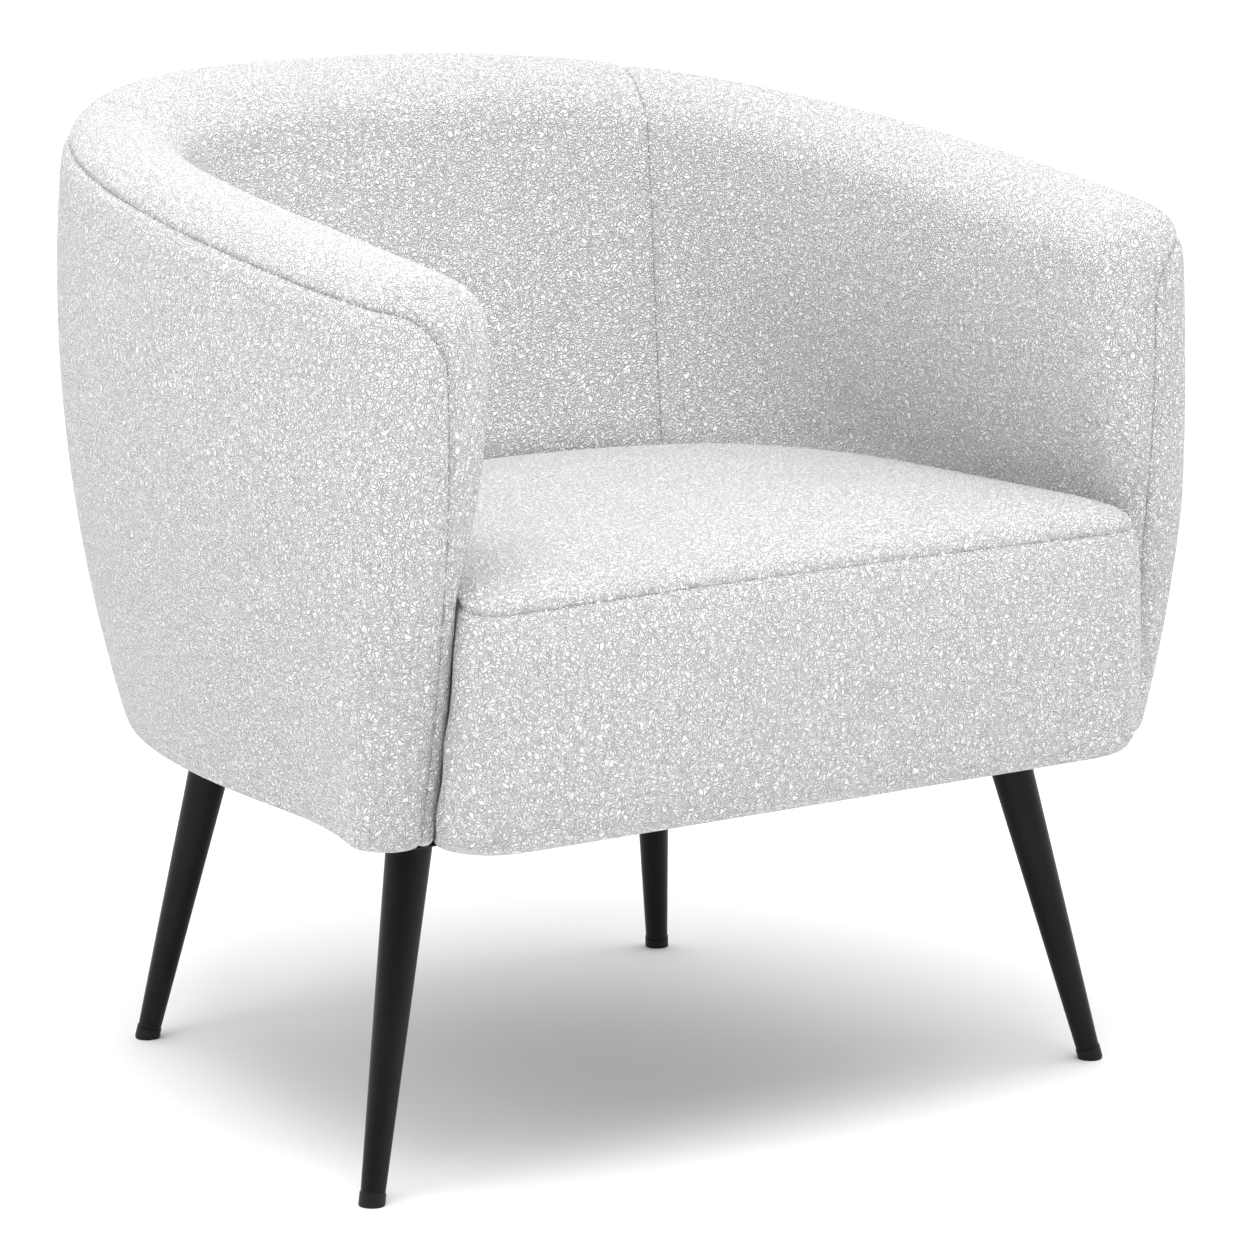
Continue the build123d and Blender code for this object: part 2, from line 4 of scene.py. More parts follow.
import bmesh
import bpy
import numpy as np
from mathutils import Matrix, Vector


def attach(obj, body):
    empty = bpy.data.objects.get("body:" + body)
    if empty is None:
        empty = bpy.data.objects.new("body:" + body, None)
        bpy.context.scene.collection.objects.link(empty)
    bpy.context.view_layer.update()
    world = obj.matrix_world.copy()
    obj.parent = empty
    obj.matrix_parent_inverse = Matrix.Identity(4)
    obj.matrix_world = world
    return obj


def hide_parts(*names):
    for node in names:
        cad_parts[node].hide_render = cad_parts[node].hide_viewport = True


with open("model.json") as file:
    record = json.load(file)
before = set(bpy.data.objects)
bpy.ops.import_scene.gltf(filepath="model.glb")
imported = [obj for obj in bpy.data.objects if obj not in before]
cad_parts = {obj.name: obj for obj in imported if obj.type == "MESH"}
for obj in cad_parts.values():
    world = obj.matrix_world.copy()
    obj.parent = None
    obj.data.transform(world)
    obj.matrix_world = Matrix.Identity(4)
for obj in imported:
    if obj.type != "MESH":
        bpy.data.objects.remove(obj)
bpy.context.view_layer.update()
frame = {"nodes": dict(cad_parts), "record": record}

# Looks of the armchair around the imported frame. Outlines are worked out in millimetres, in the
# frame of the CAD model, with its own dimensions, and become metres when a mesh is made.

NODES = frame["nodes"]
MM = 0.001

# Body heights and the slope of the top edge
BODY_BOTTOM = 260.0
ARM_TOP = 654.0
BACK_TOP = 736.0
ARM_FRONT_Y = -350.0
BACK_REAR_Y = 361.0
TOP_SLOPE = (BACK_TOP - ARM_TOP) / (BACK_REAR_Y - ARM_FRONT_Y)
TOP_AT_MIDDLE = ARM_TOP - TOP_SLOPE * ARM_FRONT_Y

# Outside outline in plan at three heights
PLAN_HEIGHTS = (260.0, 480.0, 700.0)
HALF_WIDTH = (327.0, 365.0, 357.0)
FRONT_HALF_WIDTH = (346.0, 357.5, 352.0)
FRONT_Y = (-305.0, -342.0, -336.0)
REAR_Y = (308.0, 350.0, 361.0)
WIDEST_Y = -163.0
OUTER_ROUNDNESS = 2.6
OUTER_CORNER = 0.50
OUTER_POINTS = (90, 16, 16)  # rear curve, side, front corner

# Inside outline in plan at three heights
INNER_HEIGHTS = (440.0, 560.0, 700.0)
INNER_HALF_WIDTH = (289.0, 265.0, 268.0)
INNER_REAR_Y = (150.0, 208.0, 252.0)
INNER_WIDEST_Y = -200.0
INNER_ROUNDNESS = 3.2
INNER_CORNER = 0.30
INNER_POINTS = (16, 12, 90)  # front corner, side, rear curve
LEVEL_ROUNDS = 7

# Rounded top edge
ROUND_HEIGHT = 34.0
ROUND_OUTSIDE = 30.0
ROUND_INSIDE = 44.0
ROUND_TURNS = range(10, 91, 10)
CREST_RISE = 1.0

# Bottom edge: height above the bottom and inward move of each tucked row, and where the wall starts
BODY_TUCK = ((0.4, 13.0), (0.0, 6.0), (1.0, 2.0))
WALL_START = 4.0

# Seams of the body
EDGE_SEAM_DROP = 21.0
FRONT_SEAM_X = 306.0
SEAM_CORNER_RADIUS = 45.0
BACK_SEAM_INSIDE = (193.0, 126.0)
BACK_SEAM_OUTSIDE = (240.0, 250.0)
OUTSIDE_SEAM_X = 215.0
NO_SEAM = 200.0
INSIDE_BOTTOM = 388.0
FRONT_WRAP_Y = -240.0

# Seat
SEAT_SEAM_FRONT = 431.0
SEAT_SEAM_FALL = 3.5
SEAT_SEAM_RISE = 7.0
SEAT_SIDE_Z = 432.0
SEAT_CROWN_Z = 452.0
SEAT_CROWN_RUN = 90.0
SEAT_FALL = 12.0
SEAT_FRONT_Y = -360.0
SEAT_HALF_WIDTH = 303.0
SEAT_CLEARANCE = 1.0
SEAT_REAR_Y = 148.0
SEAT_CORNER = 38.0
SEAT_PROFILE = (
    (258.0, 20.0), (259.5, 11.0), (264.0, 5.0), (275.0, 1.5),
    (300.0, 0.0), (345.0, 0.0), (400.0, 1.0), (432.0, 4.0),
)
SEAT_SKIRT_REAR = 396.0
SEAT_TUCK = (2.0, 40.0)
SEAT_WALL_START = 285.0
SEAT_POINTS = (12, 24, 80)  # front, corner, rear curve
CROWN_TURNS = (12, 24, 36, 48, 60, 75, 90)
CROWN_SHARES = (0.88, 0.76, 0.64, 0.52, 0.4, 0.28, 0.16)
CROWN_CENTRE_Y = -108.0
CROWN_CENTRE_RISE = 1.5
CROWN_CENTRE_REACH = 40.0

# Vertex values that hold the distance to a seam, and a seam's groove: a narrow one where the
# panels turn in, in a wide shallow one
SEAMS = ("edge", "inside_back", "outside_back")
GROOVE_DEPTH = 1.9
SEAT_GROOVE_DEPTH = 1.3
GROOVE_WIDTH = 2.6
DIMPLE_DEPTH = 1.2
DIMPLE_WIDTH = 9.0
CUT_LINES = (0.0, -1.3, 1.3, -3.0, 3.0, -6.0, 6.0)
CUT_REACH = 40.0
CUT_SNAP = 0.12
TINY = 1e-6
FABRIC_THICKNESS = 1.6

# Cloth simulation: pressure, how far the cover may move, and how far from a seam it is held
CLOTH_FRAMES = 20
BODY_PRESSURE = 2.2
BODY_SWELL = 4.0
SEAT_PRESSURE = 4.0
SEAT_SWELL = 6.0
SPREAD_ROUNDS = 24
HELD_AT_EDGE_SEAM = 7.0
HELD_AT_BACK_SEAM = 6.0
HELD_AT_SEAT_SEAM = 5.0
HELD_BOTTOM = 5.0
HELD_INSIDE_Z = 436.0
HELD_BESIDE_Y = -310.0

# Cloth under the frame: its size before it is stapled on, how it hangs, and the cuts across it
DUST_THICKNESS = 0.6
DUST_SAG = 3.0
DUST_RIPPLE = 0.5
DUST_LIFT = 0.9
DUST_HALF = (0.32, 0.30)
DUST_CUT = 20.0
DUST_CUTS = 17

# Columns round half of each grid, and rows up its wall
HALF_COLUMNS = 78
WALL_ROWS = 32
SEAT_HALF_COLUMNS = 96
SEAT_WALL_ROWS = 15
SEAT_PLAN_ROW = 10

# Surroundings: how bright, and the direction that is darker
WORLD_BRIGHT = 1.30
WORLD_DARK = 0.05
DARK_SIDE = (-0.62, -0.77, -0.15)

# Floor
FLOOR_SIDE = 60000.0
FLOOR_STEPS = 8

# Camera: where it looks, and from where
TARGET = Vector((0.0, -0.1075, 0.3471))
AZIMUTH = -34.67
ELEVATION = 11.61
DISTANCE = 4.0
FIELD_OF_VIEW = 13.227


# ---------------------------------------------------------------- outlines

def by_height(z, heights, values):
    """Value at height z of the quadratic curve through three values at three heights."""
    total = 0.0
    for i in range(3):
        weight = 1.0
        for j in range(3):
            if j != i:
                weight = weight * (z - heights[j]) / (heights[i] - heights[j])
        total = total + weight * values[i]
    return total


def on_level(level, plan):
    """Points of a plan curve on a sloping level (height at y = 0, slope)."""
    x, y = plan(np.float64(level[0]))
    for _ in range(LEVEL_ROUNDS):
        x, y = plan(level[0] + level[1] * y)
    return np.stack([x, y, level[0] + level[1] * y], axis=1)


def stretches(counts, *values):
    """Each value at every point of a curve, cut into the curve's stretches."""
    ends = np.cumsum(counts)[:-1]
    return [np.split(np.broadcast_to(value, sum(counts)), ends) for value in values]


def inner_width(z):
    return by_height(np.maximum(z, INNER_HEIGHTS[0]), INNER_HEIGHTS, INNER_HALF_WIDTH)


def outer_half(level, outer_move, inner_move):
    """Right half of the outside outline, from the rear centre round to the front seam."""
    power = 2 / OUTER_ROUNDNESS
    rear_turn = np.radians(np.linspace(90, 0, OUTER_POINTS[0]))
    share = np.linspace(0.02, 0.98, OUTER_POINTS[1])
    corner_turn = np.radians(np.linspace(90, 0, OUTER_POINTS[2]))

    def plan(z):
        width = by_height(z, PLAN_HEIGHTS, HALF_WIDTH) - outer_move
        front_width = by_height(z, PLAN_HEIGHTS, FRONT_HALF_WIDTH) - outer_move
        front = by_height(z, PLAN_HEIGHTS, FRONT_Y) + outer_move
        rear = by_height(z, PLAN_HEIGHTS, REAR_Y) - outer_move
        corner = OUTER_CORNER * (front_width - inner_width(z) - inner_move)
        width, front_width, front, rear, corner = stretches(
            OUTER_POINTS, width, front_width, front, rear, corner)
        x = np.concatenate([
            width[0] * np.maximum(np.cos(rear_turn), 0) ** power,
            width[1] - (width[1] - front_width[1]) * share**2,
            front_width[2] - corner[2] * (1 - np.sin(corner_turn)),
        ])
        y = np.concatenate([
            WIDEST_Y + (rear[0] - WIDEST_Y) * np.sin(rear_turn) ** power,
            WIDEST_Y + (front[1] + corner[1] - WIDEST_Y) * share,
            front[2] + corner[2] * (1 - np.cos(corner_turn)),
        ])
        return x, y

    return on_level(level, plan)


def inner_half(level, outer_move, inner_move):
    """Right half of the inside outline, from the front seam round to the rear centre."""
    power = 2 / INNER_ROUNDNESS
    corner_turn = np.radians(np.linspace(0, 90, INNER_POINTS[0]))
    share = np.linspace(0.97, 0.03, INNER_POINTS[1])
    rear_turn = np.radians(np.linspace(0, 90, INNER_POINTS[2]))

    def plan(z):
        width = inner_width(z) + inner_move
        front = by_height(z, PLAN_HEIGHTS, FRONT_Y) + outer_move
        thick = by_height(z, PLAN_HEIGHTS, FRONT_HALF_WIDTH) - outer_move - width
        rear = by_height(np.maximum(z, INNER_HEIGHTS[0]), INNER_HEIGHTS, INNER_REAR_Y) + inner_move
        width, front, corner, rear = stretches(INNER_POINTS, width, front, INNER_CORNER * thick, rear)
        x = np.concatenate([
            width[0] + corner[0] * (1 - np.sin(corner_turn)),
            width[1],
            width[2] * np.maximum(np.cos(rear_turn), 0) ** power,
        ])
        y = np.concatenate([
            front[0] + corner[0] * (1 - np.cos(corner_turn)),
            INNER_WIDEST_Y + (front[1] + corner[1] - INNER_WIDEST_Y) * share,
            INNER_WIDEST_Y + (rear[2] - INNER_WIDEST_Y) * np.sin(rear_turn) ** power,
        ])
        return x, y

    return on_level(level, plan)


def even(points, count):
    """The same polyline with count + 1 points at equal distances."""
    run = np.concatenate([[0], np.cumsum(np.linalg.norm(np.diff(points, axis=0), axis=1))])
    at = np.linspace(0, run[-1], count + 1)
    return np.stack([np.interp(at, run, points[:, k]) for k in range(3)], axis=1)


def body_ring(level, outer_move, inner_move):
    """Closed ring of the wall on a level: rear centre, right arm, inside, left arm."""
    outside = even(outer_half(level, outer_move, inner_move), HALF_COLUMNS)
    seam = outside[-1]
    inside = inner_half(level, outer_move, inner_move)
    inside = even(np.concatenate([[seam], inside]), HALF_COLUMNS)
    right = np.concatenate([outside, inside[1:]])
    left = right[-2:0:-1] * np.array([-1, 1, 1])
    return np.concatenate([right, left])


# ---------------------------------------------------------------- body grid

def body_levels():
    """Levels of the wall from its tucked bottom edge to the crest, with their inward moves."""
    low = (BODY_BOTTOM + WALL_START, 0.0)
    shoulder = (TOP_AT_MIDDLE - ROUND_HEIGHT, TOP_SLOPE)
    result = [((BODY_BOTTOM + rise, 0.0), move, move) for rise, move in BODY_TUCK]
    for k in range(WALL_ROWS + 1):
        share = k / WALL_ROWS
        level = tuple(a + (b - a) * share for a, b in zip(low, shoulder))
        result.append((level, 0.0, 0.0))
    for turn in ROUND_TURNS:
        pull = 1 - math.cos(math.radians(turn))
        drop = ROUND_HEIGHT * (1 - math.sin(math.radians(turn)))
        level = (TOP_AT_MIDDLE - drop, TOP_SLOPE)
        result.append((level, ROUND_OUTSIDE * pull, ROUND_INSIDE * pull))
    return result


def rounded_corner(p, q, radius):
    """Signed distance to the edge of the region p > 0, q > 0 with its corner rounded."""
    a = radius - p
    b = radius - q
    outside = np.hypot(np.maximum(a, 0), np.maximum(b, 0))
    return radius - (outside + np.minimum(np.maximum(a, b), 0))


def seam_offsets(rings):
    """For each vertex, the way round and the way up from it to the seam along the edge."""
    rows, columns = rings.shape[:2]
    along = np.linalg.norm(np.diff(rings, axis=1), axis=2)
    run = np.concatenate([np.zeros((rows, 1)), np.cumsum(along, axis=1)], axis=1)
    span = slice(HALF_COLUMNS - 8, HALF_COLUMNS + 9)
    seam_run = [np.interp(-FRONT_SEAM_X, -ring[span, 0], own[span]) for ring, own in zip(rings, run)]
    right = np.array(seam_run)[:, None] - run
    around = right.copy()
    for k in range(1, 2 * HALF_COLUMNS):
        around[:, columns - k] = right[:, k]
    steps = np.linalg.norm(np.diff(rings, axis=0), axis=2)
    height = np.concatenate([np.zeros((1, columns)), np.cumsum(steps, axis=0)])
    drops = TOP_AT_MIDDLE + TOP_SLOPE * rings[:, :, 1] - rings[:, :, 2]
    above_tuck = slice(len(BODY_TUCK) + 1, None)
    up = np.empty_like(height)
    for k in range(columns):
        at_seam = np.interp(-EDGE_SEAM_DROP, -drops[above_tuck, k], height[above_tuck, k])
        up[:, k] = at_seam - height[:, k]
    return around, up


def body_grid():
    """Vertices, faces and the seam distance of the whole body surface."""
    rings = np.array([body_ring(*row) for row in body_levels()])
    rows, columns = rings.shape[:2]
    half = 2 * HALF_COLUMNS
    p, q = seam_offsets(rings)
    verts = list(rings.reshape(-1, 3))
    p_all = list(p.reshape(-1))
    q_all = list(q.reshape(-1))
    faces = []
    for r in range(rows - 1):
        for c in range(columns):
            d = (c + 1) % columns
            corner = rings[r + 1, c]
            inside = HALF_COLUMNS < c < columns - HALF_COLUMNS
            if inside and corner[2] < INSIDE_BOTTOM and corner[1] > FRONT_WRAP_Y:
                continue
            faces.append((r * columns + d, r * columns + c, (r + 1) * columns + c, (r + 1) * columns + d))
    top = (rows - 1) * columns
    crest = {}
    for c in list(range(0, HALF_COLUMNS)) + list(range(columns - HALF_COLUMNS + 1, columns)):
        other = (half - c) % columns
        middle = (rings[-1, c] + rings[-1, other]) / 2 + np.array([0, 0, CREST_RISE])
        crest[c] = len(verts)
        verts.append(middle)
        p_all.append((p[-1, c] + p[-1, other]) / 2)
        q_all.append(q[-1, c] - np.linalg.norm(middle - rings[-1, c]))
    for c in range(columns):
        d = (c + 1) % columns
        if c not in crest and d not in crest:
            continue
        others = [(half - k) % columns for k in (c, d)]
        if c in crest and d in crest:
            faces.append((top + d, top + c, crest[c], crest[d]))
            faces.append((crest[d], crest[c], top + others[0], top + others[1]))
        elif c in crest:
            faces.append((top + d, top + c, crest[c], top + others[0]))
        else:
            faces.append((top + d, top + c, top + others[1], crest[d]))
    distance = rounded_corner(np.array(p_all), np.array(q_all), SEAM_CORNER_RADIUS)
    return np.array(verts), faces, distance


def back_seam_distance(points):
    """Distance from the inside-back seams, positive on the arm side."""
    run = np.array(BACK_SEAM_OUTSIDE) - np.array(BACK_SEAM_INSIDE)
    across = np.array([run[1], -run[0]]) / np.linalg.norm(run)
    x = np.abs(points[:, 0]) - BACK_SEAM_INSIDE[0]
    y = points[:, 1] - BACK_SEAM_INSIDE[1]
    return x * across[0] + y * across[1]


def outside_seam_distance(points):
    """Distance from the outside-back seams, positive on the arm side."""
    x = np.abs(points[:, 0]) - OUTSIDE_SEAM_X
    return np.where(points[:, 1] > 0, x, NO_SEAM)


# ---------------------------------------------------------------- seat grid

def seat_ring(z, inset):
    """Closed ring of the seat on a level, from the front centre round by the right."""
    power = 2 / INNER_ROUNDNESS
    width = SEAT_HALF_WIDTH - inset
    front = SEAT_FRONT_Y + inset
    rear = SEAT_REAR_Y - inset
    flat_x = np.linspace(0, width - SEAT_CORNER, SEAT_POINTS[0])[:-1]
    corner = np.radians(np.linspace(0, 90, SEAT_POINTS[1]))
    turn = np.radians(np.linspace(0, 90, SEAT_POINTS[2]))
    x = np.concatenate([flat_x, width - SEAT_CORNER * (1 - np.sin(corner)), width * np.cos(turn) ** power])
    y = np.concatenate([
        np.full(len(flat_x), front),
        front + SEAT_CORNER * (1 - np.cos(corner)),
        INNER_WIDEST_Y + (rear - INNER_WIDEST_Y) * np.sin(turn) ** power,
    ])
    x[-1] = 0.0
    right = even(np.stack([x, y, np.full(len(x), z)], axis=1), SEAT_HALF_COLUMNS)
    behind = right[:, 1] - by_height(z, PLAN_HEIGHTS, FRONT_Y)
    radius = INNER_CORNER * (by_height(z, PLAN_HEIGHTS, FRONT_HALF_WIDTH) - inner_width(z))
    turned = 1 - np.clip(1 - behind / radius, 0, 1) ** 2
    gap = inner_width(z) - SEAT_CLEARANCE + radius * (1 - np.sqrt(turned))
    right[:, 0] = np.where(behind > 0, np.minimum(right[:, 0], gap), right[:, 0])
    left = right[-2:0:-1] * np.array([-1, 1, 1])
    return np.concatenate([right, left])


def seat_levels():
    """Levels of the seat from its tucked bottom to its crown, and how many are below the crown."""
    heights, pulls = zip(*SEAT_PROFILE)
    levels = [(SEAT_PROFILE[0][0] + SEAT_TUCK[0], SEAT_TUCK[1])] + list(SEAT_PROFILE[:4])
    for z in np.linspace(SEAT_WALL_START, SEAT_SIDE_Z, SEAT_WALL_ROWS):
        levels.append((z, float(np.interp(z, heights, pulls))))
    border = len(levels)
    for turn in CROWN_TURNS:
        angle = math.radians(turn)
        inset = SEAT_PROFILE[-1][1] + SEAT_CROWN_RUN * (1 - math.cos(angle))
        levels.append((SEAT_SIDE_Z + (SEAT_CROWN_Z - SEAT_SIDE_Z) * math.sin(angle), inset))
    return levels, border


def seat_grid():
    """Vertices, faces and seam distance of the seat, from its tucked bottom to the crown."""
    levels, border = seat_levels()
    rings = [seat_ring(z, inset) for z, inset in levels]
    last = rings[-1]
    centre = np.array([0.0, CROWN_CENTRE_Y, SEAT_CROWN_Z + CROWN_CENTRE_RISE])
    for share in CROWN_SHARES:
        ring = centre + (last - centre) * share
        ring[:, 2] = SEAT_CROWN_Z + CROWN_CENTRE_RISE * (1 - share**2)
        rings.append(ring)
    for ring in rings + [centre[None]]:
        share = np.clip((ring[:, 2] - SEAT_SIDE_Z) / (SEAT_CROWN_Z - SEAT_SIDE_Z), 0, 1)
        ring[:, 2] -= SEAT_FALL * share * (ring[:, 1] - SEAT_FRONT_Y) / (SEAT_REAR_Y - SEAT_FRONT_Y)
    rings = np.array(rings)
    rows, columns = rings.shape[:2]
    up = np.linalg.norm(np.diff(rings, axis=0), axis=2)
    height = np.concatenate([np.zeros((1, columns)), np.cumsum(up, axis=0)])
    q = np.empty_like(height)
    for k in range(columns):
        x, y = rings[SEAT_PLAN_ROW, k, :2]
        turned = min(max((y - SEAT_FRONT_Y) / SEAT_CORNER, 0.0), 1.0)
        seam_z = SEAT_SEAM_FRONT - SEAT_SEAM_FALL * (x / SEAT_HALF_WIDTH) ** 2 + SEAT_SEAM_RISE * turned
        q[:, k] = np.interp(seam_z, rings[1 : border + 3, k, 2], height[1 : border + 3, k]) - height[:, k]
    verts = list(rings.reshape(-1, 3)) + [centre]
    faces = []
    for r in range(rows - 1):
        for c in range(columns):
            d = (c + 1) % columns
            low = rings[r, c]
            if low[2] < SEAT_SKIRT_REAR and low[1] > FRONT_WRAP_Y:
                continue
            faces.append((r * columns + c, r * columns + d, (r + 1) * columns + d, (r + 1) * columns + c))
    for c in range(columns):
        d = (c + 1) % columns
        faces.append(((rows - 1) * columns + c, (rows - 1) * columns + d, rows * columns))
    distance = np.concatenate([q.reshape(-1), [q[-1].min() - CROWN_CENTRE_REACH]])
    return np.array(verts), faces, distance


# ---------------------------------------------------------------- mesh tools

def new_object(name, verts, faces):
    mesh = bpy.data.meshes.new(name)
    mesh.from_pydata([tuple(v) for v in np.asarray(verts) * MM], [], faces)
    mesh.validate()
    mesh.update()
    obj = bpy.data.objects.new(name, mesh)
    bpy.context.scene.collection.objects.link(obj)
    return obj


def drop_loose(obj, values):
    """Remove vertices that no face uses, and return the values of those that stay."""
    bm = bmesh.new()
    bm.from_mesh(obj.data)
    bm.verts.ensure_lookup_table()
    keep = [bool(v.link_faces) for v in bm.verts]
    bmesh.ops.delete(bm, geom=[v for v in bm.verts if not v.link_faces], context="VERTS")
    bm.to_mesh(obj.data)
    bm.free()
    return values[np.array(keep)]


def coordinates(mesh):
    co = np.empty(len(mesh.vertices) * 3)
    mesh.vertices.foreach_get("co", co)
    return co.reshape(-1, 3) / MM


def set_coordinates(mesh, points):
    mesh.vertices.foreach_set("co", (points * MM).astype(np.float32).reshape(-1))
    mesh.update()


def normals(mesh):
    no = np.empty(len(mesh.vertices) * 3, dtype=np.float32)
    mesh.vertex_normals.foreach_get("vector", no)
    return no.reshape(-1, 3).astype(float)


def evaluated_mesh(obj):
    """The object's mesh with its modifiers applied."""
    graph = bpy.context.evaluated_depsgraph_get()
    final = obj.evaluated_get(graph)
    return bpy.data.meshes.new_from_object(final, preserve_all_data_layers=True, depsgraph=graph)


def spread(mesh, moved, pinned):
    """Even out a movement over neighbouring vertices, as padding under the cover does."""
    ends = np.empty(len(mesh.edges) * 2, dtype=np.int64)
    mesh.edges.foreach_get("vertices", ends)
    a, b = ends.reshape(-1, 2).T
    count = np.bincount(ends, minlength=len(moved))[:, None]
    for _ in range(SPREAD_ROUNDS):
        total = np.zeros_like(moved)
        np.add.at(total, a, moved[b])
        np.add.at(total, b, moved[a])
        moved = total / np.maximum(count, 1)
        moved[pinned] = 0
    return moved


def inflate(obj, pinned, pressure, cap):
    """Fill the cover with cloth under pressure, held at its pins and by the foam inside it."""
    start = coordinates(obj.data)
    outward = normals(obj.data)
    group = obj.vertex_groups.new(name="held")
    for index in np.nonzero(pinned)[0]:
        group.add([int(index)], 1.0, "REPLACE")
    cloth = obj.modifiers.new("cloth", "CLOTH")
    settings = cloth.settings
    settings.quality = 5
    settings.mass = 0.3
    settings.tension_stiffness = 25
    settings.compression_stiffness = 25
    settings.shear_stiffness = 10
    settings.bending_stiffness = 3
    settings.use_pressure = True
    settings.uniform_pressure_force = pressure
    settings.vertex_group_mass = "held"
    settings.effector_weights.gravity = 0.0
    cloth.point_cache.frame_start = 1
    cloth.point_cache.frame_end = CLOTH_FRAMES
    for number in range(1, CLOTH_FRAMES + 1):
        bpy.context.scene.frame_set(number)
    result = evaluated_mesh(obj)
    moved = coordinates(result) - start
    inward = np.minimum(np.sum(moved * outward, axis=1, keepdims=True), 0)
    moved -= inward * outward
    bpy.data.meshes.remove(result)
    obj.modifiers.remove(cloth)
    obj.vertex_groups.remove(group)
    bpy.context.scene.frame_set(1)
    length = np.linalg.norm(moved, axis=1, keepdims=True)
    moved *= cap * np.tanh(length / cap) / np.maximum(length, TINY)
    set_coordinates(obj.data, start + spread(obj.data, moved, pinned))


def subdivided(obj, levels):
    modifier = obj.modifiers.new("smooth", "SUBSURF")
    modifier.levels = levels
    modifier.render_levels = levels
    mesh = evaluated_mesh(obj)
    obj.modifiers.remove(modifier)
    old = obj.data
    obj.data = mesh
    bpy.data.meshes.remove(old)


def set_layer(mesh, name, values):
    layer = mesh.attributes.get(name) or mesh.attributes.new(name, "FLOAT", "POINT")
    layer.data.foreach_set("value", np.asarray(values, dtype=np.float32))


def get_layer(mesh, name):
    values = np.empty(len(mesh.vertices), dtype=np.float32)
    mesh.attributes[name].data.foreach_get("value", values)
    return values.astype(float)


def cut_line(bm, name, value, allowed):
    """Insert vertices and edges where a vertex value reaches a given number."""
    layer = bm.verts.layers.float[name]
    crossing = []
    for edge in bm.edges:
        a, b = edge.verts
        low, high = a[layer] - value, b[layer] - value
        if low * high < 0 and abs(low) + abs(high) < CUT_REACH and allowed(a) and allowed(b):
            crossing.append((edge, low / (low - high)))
    on_line = set()
    for edge, share in crossing:
        a, b = edge.verts
        if min(share, 1 - share) < CUT_SNAP:
            near, far, part = (a, b, share) if share < 0.5 else (b, a, 1 - share)
            if near not in on_line:
                near.co = near.co.lerp(far.co, part)
                near[layer] = value
                on_line.add(near)
    for edge, share in crossing:
        a, b = edge.verts
        if a in on_line or b in on_line:
            continue
        _, vert = bmesh.utils.edge_split(edge, a, share)
        vert[layer] = value
        on_line.add(vert)
    faces = {face for vert in on_line for face in vert.link_faces}
    for face in faces:
        ends = [v for v in face.verts if v in on_line]
        if len(ends) == 2 and not any(set(ends) == set(e.verts) for e in face.edges):
            bmesh.utils.face_split(face, ends[0], ends[1])


def groove(distance, depth=GROOVE_DEPTH):
    """Depth of a seam's groove at a distance from it."""
    narrow = depth * np.exp(-((distance / GROOVE_WIDTH) ** 2))
    return narrow + DIMPLE_DEPTH * np.exp(-((distance / DIMPLE_WIDTH) ** 2))


def panels_from(obj, side_of):
    """Split a mesh into one object for each panel name that side_of gives its faces."""
    mesh = obj.data
    centres = np.empty(len(mesh.polygons) * 3)
    mesh.polygons.foreach_get("center", centres)
    names = side_of(mesh, centres.reshape(-1, 3) / MM)
    result = {}
    for name in sorted(set(names)):
        bm = bmesh.new()
        bm.from_mesh(mesh)
        bm.faces.ensure_lookup_table()
        others = [face for face, own in zip(bm.faces, names) if own != name]
        bmesh.ops.delete(bm, geom=others, context="FACES")
        panel = bpy.data.meshes.new(name)
        bm.to_mesh(panel)
        bm.free()
        piece = bpy.data.objects.new(name, panel)
        bpy.context.scene.collection.objects.link(piece)
        result[name] = piece
    bpy.data.objects.remove(obj)
    return result


def face_values(mesh, name):
    """Mean of a vertex value over each face."""
    values = get_layer(mesh, name)
    corners = np.empty(len(mesh.loops), dtype=np.int64)
    mesh.loops.foreach_get("vertex_index", corners)
    starts = np.empty(len(mesh.polygons), dtype=np.int64)
    counts = np.empty(len(mesh.polygons), dtype=np.int64)
    mesh.polygons.foreach_get("loop_start", starts)
    mesh.polygons.foreach_get("loop_total", counts)
    return np.add.reduceat(values[corners], starts) / counts


def thicken(obj, thickness):
    """Give a panel the thickness of its fabric, inwards, and smooth shading."""
    modifier = obj.modifiers.new("thickness", "SOLIDIFY")
    modifier.thickness = thickness * MM
    modifier.offset = -1.0
    mesh = evaluated_mesh(obj)
    obj.modifiers.remove(modifier)
    obj.data = mesh
    for name in SEAMS:
        if name in mesh.attributes:
            mesh.attributes.remove(mesh.attributes[name])
    mesh.polygons.foreach_set("use_smooth", [True] * len(mesh.polygons))
    mesh.update()


# ---------------------------------------------------------------- fabric pieces

